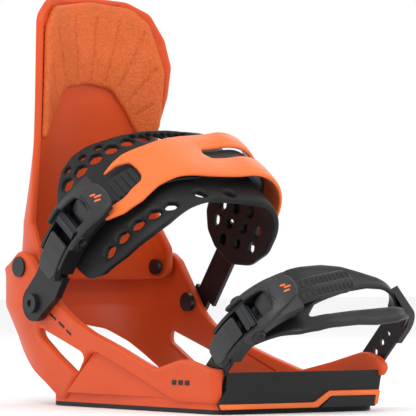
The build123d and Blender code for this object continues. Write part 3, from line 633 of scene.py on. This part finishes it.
ladder_outline = rounded([(-103, -6), (-103, 5), (-98, 8.9), (22, 8.9), (30, 4), (31, -3), (26, -8.9),
                          (-98, -8.9)], 3, 2.0)
bolt_hole = rounded([(-95.5 + 3.1 * math.cos(a * math.pi / 8),
                      3.1 * math.sin(a * math.pi / 8) - 3) for a in range(16)], 1, 1.2)
ladder = plate("toe_ladder_skin", ladder_outline, ladder_path, 4.0, 6.0, [bolt_hole], grid=0.95, edge=0.7,
               back=0.4,
               relief=ladder_slots)
finish_piece(ladder, "black_plastic", "toe_strap", ["toe_ladder"])


# ---- front face ----------------------------------------------------------------------------------------
def front_ribs(y, z, dist):
    """Fine ribs that waver along the face."""
    phase = z * 0.72 + 0.55 * np.sin(y * 0.21) + 0.03 * y + 0.3 * np.sin(y * 0.083 + z * 0.5)
    return 0.42 * np.cos(2 * math.pi * phase) * np.clip((dist - 0.8) / 1.2, 0, 1)


panel_outline = rounded([(-56.4, 26), (-56.8, 14), (-62.5, 6), (-61, 3), (57.5, 3), (62.2, 22), (60, 26)],
                        1.2, 1.5)
panel = plate("toe_front_texture", panel_outline, front_face, -2.0, 0.0, grid=0.62, edge=0.8, back=0.4,
              relief=front_ribs)
finish_piece(panel, "black_rubber", "chassis")
trim_outline = rounded([(-62.5, 6.2, 0.6), (9, 6.2, 4), (20.5, 13.4, 4), (60.6, 13.4, 1.6),
                        (58.4, 4, 0.6), (55.8, 4, 0.6),
                        (57, 10, 0.8), (22, 10, 3), (11.5, 2.9, 3), (-61.3, 2.9, 0.6)], 1, 1.2)
trim = plate("toe_front_trim", trim_outline, front_face, 0.2, 1.9, grid=1.6, edge=0.6, back=0.2)
finish_piece(trim, "cap_orange", "chassis", ["toe_ramp_trim"])


# ---- buckles -------------------------------------------------------------------------------------------
def turned(name, origin, axis, profile, segments=40):
    """A solid of revolution; the profile is (radius, height) pairs that start and end on the axis."""
    axis = Vector(axis).normalized()
    side = axis.orthogonal().normalized()
    other = axis.cross(side)
    base = Vector(origin)
    verts, faces = [], []
    for r, h in profile:
        for k in range(segments):
            a = 2 * math.pi * k / segments
            verts.append((base + axis * h + (side * math.cos(a) + other * math.sin(a)) * r) * MM)
    for i in range(len(profile) - 1):
        for k in range(segments):
            m = (k + 1) % segments
            faces.append((i * segments + k, i * segments + m, (i + 1) * segments + m,
                          (i + 1) * segments + k))
    obj = new_object(name, verts, faces)
    flip_if_inside_out(obj)
    return obj


class BuckleSkin:
    """What shows of a buckle over its CAD frame: lever top, thumb bowl, release tab, hubs and a mark."""

    def __init__(self, name, loop, base_d, middle, width, tall, u_release, u_pivot, u_tip, lean, taper):
        self.name, self.loop, self.base_d, self.middle, self.tall = name, loop, base_d, middle, tall
        self.lean, self.taper = lean, taper
        self.half, self.u_release, self.u_pivot, self.u_tip = width / 2, u_release, u_pivot, u_tip

    def up(self, height):
        return self.base_d + height * self.tall

    def shape(self, points, step=1.4):
        """Outline with w measured from the middle of the ladder."""
        past = [max(0.0, p[0] - self.u_pivot - 8) for p in points]
        return rounded([(p[0], p[1] * (1 - self.taper * far) + self.middle + self.lean * far) + tuple(p[2:])
                        for p, far in zip(points, past)], 2, step)

    def lever(self):
        h, o, p, t = self.half, self.half + 3.2, self.u_pivot, self.u_tip
        outline = self.shape([
            (p - 6.4, h + 0.4, 1), (p - 6.4, o, 4), (p + 8, o + 0.6, 14), (t - 7, o, 10),
            (t + 1.5, o - 5, 6),
            (t + 2.5, 0, 12), (t + 1.5, -o + 5, 6), (t - 7, -o, 10), (p + 8, -o - 0.6, 14),
            (p - 6.4, -o, 4),
            (p - 6.4, -h - 0.4, 1), (p + 3, -h - 0.4, 1), (p + 3.4, -h + 2.6, 1), (p + 13, -h + 3.2, 3),
            (p + 14.5, 0, 6), (p + 13, h - 3.2, 3), (p + 3.4, h - 2.6, 1), (p + 3, h + 0.4, 1)])

        def crown(u, w, dist):
            side = np.abs(w - self.middle - self.lean * np.maximum(u - p - 8, 0)) / o
            rim = 0.6 * np.exp(-((dist - 1.2) / 0.9) ** 2)
            return 1.0 - 1.6 * side ** 4 + rim - 1.3 * np.clip((u - t + 10) / 12, 0, 1) ** 2
        top = plate(self.name + "_lever_top", outline, self.loop.place, self.up(12.9), self.up(14.6),
                    grid=1.7, edge=1.0,
                    back=0.3, relief=crown)
        finish_piece(top, "grey_plastic", self.name + "_lever")

        def spoon(u, w, dist):
            fall = np.clip((p + 14 - u) / 8, 0, 1)
            return -4.6 * self.tall * fall ** 1.4 - 0.06 * (w - self.middle) ** 2 * fall * 0.35
        bowl_outline = self.shape([(p + 6.4, h - 4.2, 2), (p + 15.5, h - 4.2, 4), (p + 15.5, -h + 4.2, 4),
                                   (p + 6.4, -h + 4.2, 2)])
        bowl = plate(self.name + "_thumb_bowl", bowl_outline, self.loop.place, self.up(12.2),
                     self.up(13.9), grid=1.5,
                     edge=0.6, back=0.3, relief=spoon, under=spoon)
        finish_piece(bowl, "grey_plastic", self.name + "_lever")
        for k in range(2):
            u = p + 13.6 + 1.6 * k
            bar = self.shape([(u, h - 6, 0.5), (u + 0.8, h - 6, 0.5), (u + 0.8, -h + 6, 0.5),
                              (u, -h + 6, 0.5)], 1.0)
            rib = plate(f"{self.name}_lever_rib_{k}", bar, self.loop.place, self.up(14.0),
                        self.up(15.6) + 0.7, grid=1.0,
                        edge=0.3, back=0.1)
            finish_piece(rib, "black_plastic", self.name + "_lever")

    def tab(self):
        h, r = self.half - 3.3, self.u_release
        outline = self.shape([(r - 17, h - 2.5, 3), (r - 12, h, 4), (r + 8.4, h - 0.6, 1.5),
                              (r + 8.4, -h + 0.6, 1.5),
                              (r - 12, -h, 4), (r - 17, -h + 2.5, 3)])

        def grip(u, w, dist):
            ribs = np.where((u > r + 1) & (u < r + 6.5) & (np.abs(w - self.middle) < h - 2.5),
                            0.35 * np.cos((u - r) * 2 * math.pi / 1.8), 0)
            return ribs + 0.7 - 0.9 * np.clip((r - 8 - u) / 9, 0, 1)
        tab = plate(self.name + "_release_top", outline, self.loop.place, self.up(10.6), self.up(12.0),
                    grid=0.9, edge=0.7,
                    back=0.3, relief=grip)
        finish_piece(tab, "grey_plastic", self.name + "_release")

    def hubs(self):
        for side in (-1, 1):
            face = self.half + 3.2
            origin = self.loop.place(np.array([self.u_pivot]), np.array([self.middle + side * face]),
                                     np.array([self.up(9.6)]))[0]
            end = self.loop.place(np.array([self.u_pivot]), np.array([self.middle + side * (face + 1)]),
                                  np.array([self.up(9.6)]))[0]
            profile = [(0, -0.6), (4.6, -0.6), (4.6, 0.9), (4.1, 1.3), (2.7, 1.3), (2.5, 1.1), (2.4, 0.3),
                       (0, 0.3)]
            hub = turned(f"{self.name}_hub_{'near' if side < 0 else 'far'}", origin, end - origin,
                         profile)
            finish_piece(hub, "black_plastic", self.name + "_lever")

    def mark(self):
        """A plain mark of three short bars on the lever's tip."""
        for k, (du, w, length) in enumerate(((-4.6, 2.6, 3.0), (-3.6, -0.4, 3.4), (-4.8, -3.4, 2.6))):
            u = self.u_tip + du
            bar = self.shape([(u, w, 0.4), (u + length, w + 1.0, 0.4), (u + length - 0.6, w + 2.4, 0.4),
                              (u - 0.6, w + 1.4, 0.4)], 0.8)

            def follow(a, b, dist):
                return -1.3 * np.clip((a - self.u_tip + 10) / 12, 0, 1) ** 2
            level = self.up(14.6) + 1.0
            piece = plate(f"{self.name}_mark_{k}", bar, self.loop.place, level - 0.8, level + 0.22,
                          grid=0.9, edge=0.1,
                          back=0.05, relief=follow, under=follow)
            finish_piece(piece, "cap_orange", self.name + "_lever")

    def build(self):
        self.lever()
        self.tab()
        self.hubs()
        self.mark()


BuckleSkin("ankle", ANKLE, 8.1, 5.0, 27.0, 1.0, -97.0, -81.0, -57.0, 0.3, 0.0).build()
BuckleSkin("toe", TOE, 2.8, 3.0, 23.4, 0.9, -60.0, -46.0, -20.0, -0.2, 0.014).build()

# ---- the other CAD nodes -------------------------------------------------------------------------------
REPLACED = {"highback_shell", "highback_pad", "heel_hoop", "ankle_pad", "ankle_cap", "toe_cap",
            "toe_ramp_trim", "toe_ladder", "ankle_core_strap"}
for node_name in SLOT_OF:
    if node_name not in REPLACED:
        dress_cad(node_name)


# ---- stage ---------------------------------------------------------------------------------------------
def area_light(name, place, aim, size, power):
    data = bpy.data.lights.new(name, "AREA")
    data.shape = "RECTANGLE"
    data.size, data.size_y = size
    data.energy = power
    lamp = bpy.data.objects.new(name, data)
    lamp.location = place
    lamp.rotation_euler = (Vector(aim) - Vector(place)).to_track_quat("-Z", "Y").to_euler()
    bpy.context.scene.collection.objects.link(lamp)
    return lamp


floor_mesh = bpy.data.meshes.new("floor")
floor_mesh.from_pydata([(-6, -6, -0.0004), (6, -6, -0.0004), (6, 6, -0.0004), (-6, 6, -0.0004)], [],
                       [(0, 1, 2, 3)])
floor = bpy.data.objects.new("floor", floor_mesh)
bpy.context.scene.collection.objects.link(floor)
floor.data.materials.append(plastic("floor_white", (0.9, 0.9, 0.9), 0.8, vary=0.0))
bpy.context.scene.view_settings.view_transform = "Standard"
lights = [
    area_light("key", (0.9, -1.0, 1.5), (0, 0, 0.1), (0.8, 0.8), 12.5),
    area_light("fill", (-1.3, -1.2, 0.9), (0, 0, 0.12), (1.2, 1.2), 3),
    area_light("side", (1.3, 0.8, 0.7), (0, 0, 0.1), (0.8, 0.8), 3),
    area_light("rear", (-1.0, 1.3, 1.2), (0, 0, 0.15), (1.0, 1.0), 4),
]
world = bpy.data.worlds.new("world")
bpy.context.scene.world = world
world.use_nodes = True
world.node_tree.nodes["Background"].inputs["Color"].default_value = (1, 1, 1, 1)
world.node_tree.nodes["Background"].inputs["Strength"].default_value = 1.0

camera_data = bpy.data.cameras.new("camera")
camera_data.lens = 285.6
camera_data.sensor_width = 36
camera_data.clip_end = 50
camera = bpy.data.objects.new("camera", camera_data)
camera.location = (1.7155, -1.3403, 0.0922)
camera.rotation_euler = (Vector((0.003, 0.0038, 0.1311)) - camera.location).to_track_quat("-Z",
                                                                                          "Y").to_euler()
bpy.context.scene.collection.objects.link(camera)
bpy.context.scene.camera = camera
